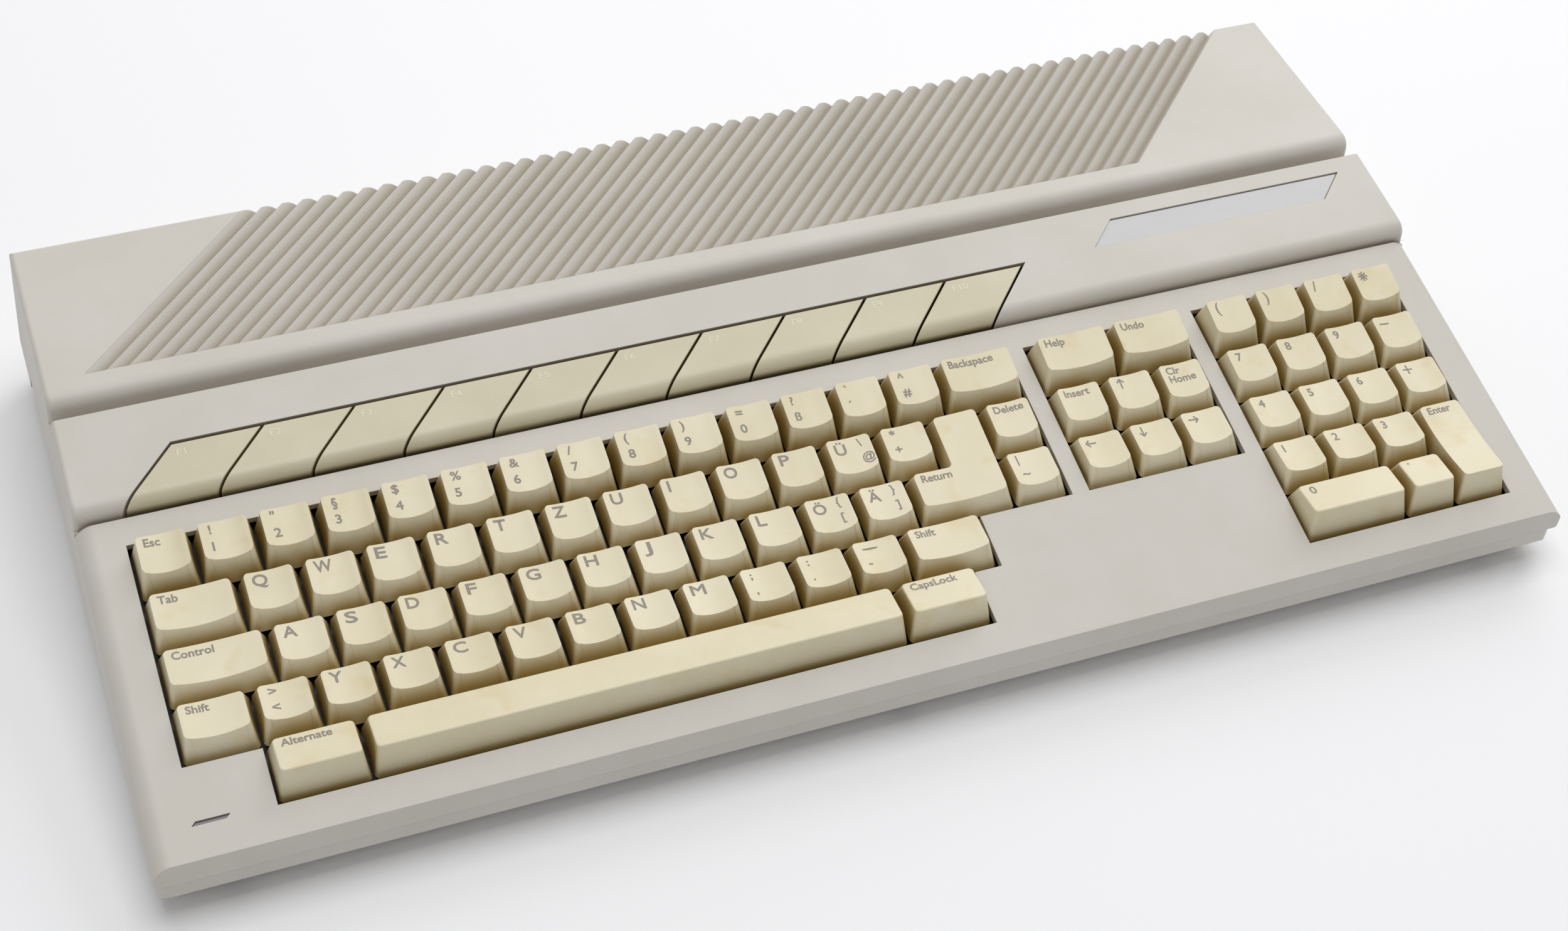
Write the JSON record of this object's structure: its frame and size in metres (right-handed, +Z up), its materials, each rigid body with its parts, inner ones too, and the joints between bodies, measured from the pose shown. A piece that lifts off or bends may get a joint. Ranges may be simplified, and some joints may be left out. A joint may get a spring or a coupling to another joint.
{
  "type": "vintage home computer",
  "caption": "Wedge-shaped home computer with a built-in keyboard, slanted function keys, a ribbed rear top and sockets in the back and sides.",
  "frame": {"origin": "middle of the footprint, on the table under the rubber feet", "axes": "+X to the right as the user sits, +Y to the back, +Z up"},
  "size_m": [0.4746, 0.24, 0.06],
  "materials": {
    "case_plastic": "fine moulded grain, warm light grey",
    "key_plastic": "satin, yellowed cream",
    "function_key_plastic": "satin, beige khaki",
    "nameplate_metal": "satin, bare",
    "lamp_plastic": "dark tinted, clear",
    "led_plastic": "tinted green",
    "foot_rubber": "matte",
    "dome_rubber": "matte silicone",
    "screw_steel": "zinc plated",
    "frame_plastic": "matte black",
    "board_laminate": "green solder mask",
    "ribbon_plastic": "matte",
    "chip_plastic": "matte epoxy",
    "shield_steel": "tinned sheet",
    "connector_black": "matte black",
    "connector_steel": "tinned shells",
    "reset_plastic": "satin grey"
  },
  "bodies": {
    "case": {"upper_case": "case_plastic", "lower_case": "case_plastic", "nameplate": "nameplate_metal", "lamp_lens": "lamp_plastic", "case_screws": "screw_steel", "feet": "foot_rubber", "keyboard_frame": "frame_plastic", "keyboard_circuit": "board_laminate", "dome_sheet": "dome_rubber", "main_board": "board_laminate", "board_chips": "chip_plastic", "upper_shield": "shield_steel", "lower_shield": "shield_steel", "cartridge_connector": "connector_black", "joystick_sockets": "connector_steel", "rear_d_connectors": "connector_steel", "round_sockets": "connector_black", "power_switch_body": "connector_black", "reset_switch_body": "connector_black", "keyboard_ribbon": "ribbon_plastic", "jack_screws": "screw_steel", "power_led": "led_plastic"},
    "space": {"space_key": "key_plastic"},
    "return": {"return_key": "key_plastic"},
    "esc": {"esc_key": "key_plastic"},
    "backspace": {"backspace_key": "key_plastic"},
    "tab": {"tab_key": "key_plastic"},
    "control": {"control_key": "key_plastic"},
    "shift_left": {"shift_left_key": "key_plastic"},
    "shift_right": {"shift_right_key": "key_plastic"},
    "alternate": {"alternate_key": "key_plastic"},
    "caps_lock": {"caps_lock_key": "key_plastic"},
    "delete": {"delete_key": "key_plastic"},
    "help": {"help_key": "key_plastic"},
    "undo": {"undo_key": "key_plastic"},
    "insert": {"insert_key": "key_plastic"},
    "clear_home": {"clear_home_key": "key_plastic"},
    "arrow_up": {"arrow_up_key": "key_plastic"},
    "arrow_left": {"arrow_left_key": "key_plastic"},
    "arrow_down": {"arrow_down_key": "key_plastic"},
    "arrow_right": {"arrow_right_key": "key_plastic"},
    "pad_enter": {"pad_enter_key": "key_plastic"},
    "pad_zero": {"pad_zero_key": "key_plastic"},
    "f1": {"f1_key": "function_key_plastic"},
    "f2": {"f2_key": "function_key_plastic"},
    "f3": {"f3_key": "function_key_plastic"},
    "f4": {"f4_key": "function_key_plastic"},
    "f5": {"f5_key": "function_key_plastic"},
    "f6": {"f6_key": "function_key_plastic"},
    "f7": {"f7_key": "function_key_plastic"},
    "f8": {"f8_key": "function_key_plastic"},
    "f9": {"f9_key": "function_key_plastic"},
    "f10": {"f10_key": "function_key_plastic"},
    "digit_row": {"digit_row_keys": "key_plastic"},
    "upper_letter": {"upper_letter_keys": "key_plastic"},
    "home_letter": {"home_letter_keys": "key_plastic"},
    "lower_letter": {"lower_letter_keys": "key_plastic"},
    "number_pad": {"number_pad_keys": "key_plastic"},
    "rocker": {"power_rocker": "connector_black"},
    "reset": {"reset_button": "reset_plastic"}
  },
  "joints": [
    {"name": "space_travel", "type": "slide", "parent": "case", "child": "space", "axis": [0, -0.1994, 0.9799], "range_m": [-0.0038, 0], "stiffness_N_per_m": 150, "springref_m": 0.002, "deforming": ["dome_sheet"]},
    {"name": "return_travel", "type": "slide", "parent": "case", "child": "return", "axis": [0, -0.1994, 0.9799], "range_m": [-0.0038, 0], "stiffness_N_per_m": 150, "springref_m": 0.002, "deforming": ["dome_sheet"]},
    {"name": "esc_travel", "type": "slide", "parent": "case", "child": "esc", "axis": [0, -0.1994, 0.9799], "range_m": [-0.0038, 0], "stiffness_N_per_m": 150, "springref_m": 0.002, "deforming": ["dome_sheet"]},
    {"name": "backspace_travel", "type": "slide", "parent": "case", "child": "backspace", "axis": [0, -0.1994, 0.9799], "range_m": [-0.0038, 0], "stiffness_N_per_m": 150, "springref_m": 0.002, "deforming": ["dome_sheet"]},
    {"name": "tab_travel", "type": "slide", "parent": "case", "child": "tab", "axis": [0, -0.1994, 0.9799], "range_m": [-0.0038, 0], "stiffness_N_per_m": 150, "springref_m": 0.002, "deforming": ["dome_sheet"]},
    {"name": "control_travel", "type": "slide", "parent": "case", "child": "control", "axis": [0, -0.1994, 0.9799], "range_m": [-0.0038, 0], "stiffness_N_per_m": 150, "springref_m": 0.002, "deforming": ["dome_sheet"]},
    {"name": "shift_left_travel", "type": "slide", "parent": "case", "child": "shift_left", "axis": [0, -0.1994, 0.9799], "range_m": [-0.0038, 0], "stiffness_N_per_m": 150, "springref_m": 0.002, "deforming": ["dome_sheet"]},
    {"name": "shift_right_travel", "type": "slide", "parent": "case", "child": "shift_right", "axis": [0, -0.1994, 0.9799], "range_m": [-0.0038, 0], "stiffness_N_per_m": 150, "springref_m": 0.002, "deforming": ["dome_sheet"]},
    {"name": "alternate_travel", "type": "slide", "parent": "case", "child": "alternate", "axis": [0, -0.1994, 0.9799], "range_m": [-0.0038, 0], "stiffness_N_per_m": 150, "springref_m": 0.002, "deforming": ["dome_sheet"]},
    {"name": "caps_lock_travel", "type": "slide", "parent": "case", "child": "caps_lock", "axis": [0, -0.1994, 0.9799], "range_m": [-0.0038, 0], "stiffness_N_per_m": 150, "springref_m": 0.002, "deforming": ["dome_sheet"]},
    {"name": "delete_travel", "type": "slide", "parent": "case", "child": "delete", "axis": [0, -0.1994, 0.9799], "range_m": [-0.0038, 0], "stiffness_N_per_m": 150, "springref_m": 0.002, "deforming": ["dome_sheet"]},
    {"name": "help_travel", "type": "slide", "parent": "case", "child": "help", "axis": [0, -0.1994, 0.9799], "range_m": [-0.0038, 0], "stiffness_N_per_m": 150, "springref_m": 0.002, "deforming": ["dome_sheet"]},
    {"name": "undo_travel", "type": "slide", "parent": "case", "child": "undo", "axis": [0, -0.1994, 0.9799], "range_m": [-0.0038, 0], "stiffness_N_per_m": 150, "springref_m": 0.002, "deforming": ["dome_sheet"]},
    {"name": "insert_travel", "type": "slide", "parent": "case", "child": "insert", "axis": [0, -0.1994, 0.9799], "range_m": [-0.0038, 0], "stiffness_N_per_m": 150, "springref_m": 0.002, "deforming": ["dome_sheet"]},
    {"name": "clear_home_travel", "type": "slide", "parent": "case", "child": "clear_home", "axis": [0, -0.1994, 0.9799], "range_m": [-0.0038, 0], "stiffness_N_per_m": 150, "springref_m": 0.002, "deforming": ["dome_sheet"]},
    {"name": "arrow_up_travel", "type": "slide", "parent": "case", "child": "arrow_up", "axis": [0, -0.1994, 0.9799], "range_m": [-0.0038, 0], "stiffness_N_per_m": 150, "springref_m": 0.002, "deforming": ["dome_sheet"]},
    {"name": "arrow_left_travel", "type": "slide", "parent": "case", "child": "arrow_left", "axis": [0, -0.1994, 0.9799], "range_m": [-0.0038, 0], "stiffness_N_per_m": 150, "springref_m": 0.002, "deforming": ["dome_sheet"]},
    {"name": "arrow_down_travel", "type": "slide", "parent": "case", "child": "arrow_down", "axis": [0, -0.1994, 0.9799], "range_m": [-0.0038, 0], "stiffness_N_per_m": 150, "springref_m": 0.002, "deforming": ["dome_sheet"]},
    {"name": "arrow_right_travel", "type": "slide", "parent": "case", "child": "arrow_right", "axis": [0, -0.1994, 0.9799], "range_m": [-0.0038, 0], "stiffness_N_per_m": 150, "springref_m": 0.002, "deforming": ["dome_sheet"]},
    {"name": "pad_enter_travel", "type": "slide", "parent": "case", "child": "pad_enter", "axis": [0, -0.1994, 0.9799], "range_m": [-0.0038, 0], "stiffness_N_per_m": 150, "springref_m": 0.002, "deforming": ["dome_sheet"]},
    {"name": "pad_zero_travel", "type": "slide", "parent": "case", "child": "pad_zero", "axis": [0, -0.1994, 0.9799], "range_m": [-0.0038, 0], "stiffness_N_per_m": 150, "springref_m": 0.002, "deforming": ["dome_sheet"]},
    {"name": "f1_travel", "type": "slide", "parent": "case", "child": "f1", "axis": [0, -0.1994, 0.9799], "range_m": [-0.0038, 0], "stiffness_N_per_m": 150, "springref_m": 0.002, "deforming": ["dome_sheet"]},
    {"name": "f2_travel", "type": "slide", "parent": "case", "child": "f2", "axis": [0, -0.1994, 0.9799], "range_m": [-0.0038, 0], "stiffness_N_per_m": 150, "springref_m": 0.002, "deforming": ["dome_sheet"]},
    {"name": "f3_travel", "type": "slide", "parent": "case", "child": "f3", "axis": [0, -0.1994, 0.9799], "range_m": [-0.0038, 0], "stiffness_N_per_m": 150, "springref_m": 0.002, "deforming": ["dome_sheet"]},
    {"name": "f4_travel", "type": "slide", "parent": "case", "child": "f4", "axis": [0, -0.1994, 0.9799], "range_m": [-0.0038, 0], "stiffness_N_per_m": 150, "springref_m": 0.002, "deforming": ["dome_sheet"]},
    {"name": "f5_travel", "type": "slide", "parent": "case", "child": "f5", "axis": [0, -0.1994, 0.9799], "range_m": [-0.0038, 0], "stiffness_N_per_m": 150, "springref_m": 0.002, "deforming": ["dome_sheet"]},
    {"name": "f6_travel", "type": "slide", "parent": "case", "child": "f6", "axis": [0, -0.1994, 0.9799], "range_m": [-0.0038, 0], "stiffness_N_per_m": 150, "springref_m": 0.002, "deforming": ["dome_sheet"]},
    {"name": "f7_travel", "type": "slide", "parent": "case", "child": "f7", "axis": [0, -0.1994, 0.9799], "range_m": [-0.0038, 0], "stiffness_N_per_m": 150, "springref_m": 0.002, "deforming": ["dome_sheet"]},
    {"name": "f8_travel", "type": "slide", "parent": "case", "child": "f8", "axis": [0, -0.1994, 0.9799], "range_m": [-0.0038, 0], "stiffness_N_per_m": 150, "springref_m": 0.002, "deforming": ["dome_sheet"]},
    {"name": "f9_travel", "type": "slide", "parent": "case", "child": "f9", "axis": [0, -0.1994, 0.9799], "range_m": [-0.0038, 0], "stiffness_N_per_m": 150, "springref_m": 0.002, "deforming": ["dome_sheet"]},
    {"name": "f10_travel", "type": "slide", "parent": "case", "child": "f10", "axis": [0, -0.1994, 0.9799], "range_m": [-0.0038, 0], "stiffness_N_per_m": 150, "springref_m": 0.002, "deforming": ["dome_sheet"]},
    {"name": "digit_row_travel", "type": "slide", "parent": "case", "child": "digit_row", "axis": [0, -0.1994, 0.9799], "range_m": [-0.0038, 0], "stiffness_N_per_m": 1950, "springref_m": 0.002, "deforming": ["dome_sheet"]},
    {"name": "upper_letter_travel", "type": "slide", "parent": "case", "child": "upper_letter", "axis": [0, -0.1994, 0.9799], "range_m": [-0.0038, 0], "stiffness_N_per_m": 1800, "springref_m": 0.002, "deforming": ["dome_sheet"]},
    {"name": "home_letter_travel", "type": "slide", "parent": "case", "child": "home_letter", "axis": [0, -0.1994, 0.9799], "range_m": [-0.0038, 0], "stiffness_N_per_m": 1800, "springref_m": 0.002, "deforming": ["dome_sheet"]},
    {"name": "lower_letter_travel", "type": "slide", "parent": "case", "child": "lower_letter", "axis": [0, -0.1994, 0.9799], "range_m": [-0.0038, 0], "stiffness_N_per_m": 1650, "springref_m": 0.002, "deforming": ["dome_sheet"]},
    {"name": "number_pad_travel", "type": "slide", "parent": "case", "child": "number_pad", "axis": [0, -0.1994, 0.9799], "range_m": [-0.0038, 0], "stiffness_N_per_m": 2400, "springref_m": 0.002, "deforming": ["dome_sheet"]},
    {"name": "rocker_turn", "type": "hinge", "parent": "case", "child": "rocker", "pos_m": [-0.101, 0.11335, 0.0215], "axis": [0, 0, 1], "range_deg": [0, 12]},
    {"name": "reset_push", "type": "slide", "parent": "case", "child": "reset", "axis": [0, 1, 0], "range_m": [-0.0015, 0], "stiffness_N_per_m": 250, "springref_m": 0.001}
  ]
}
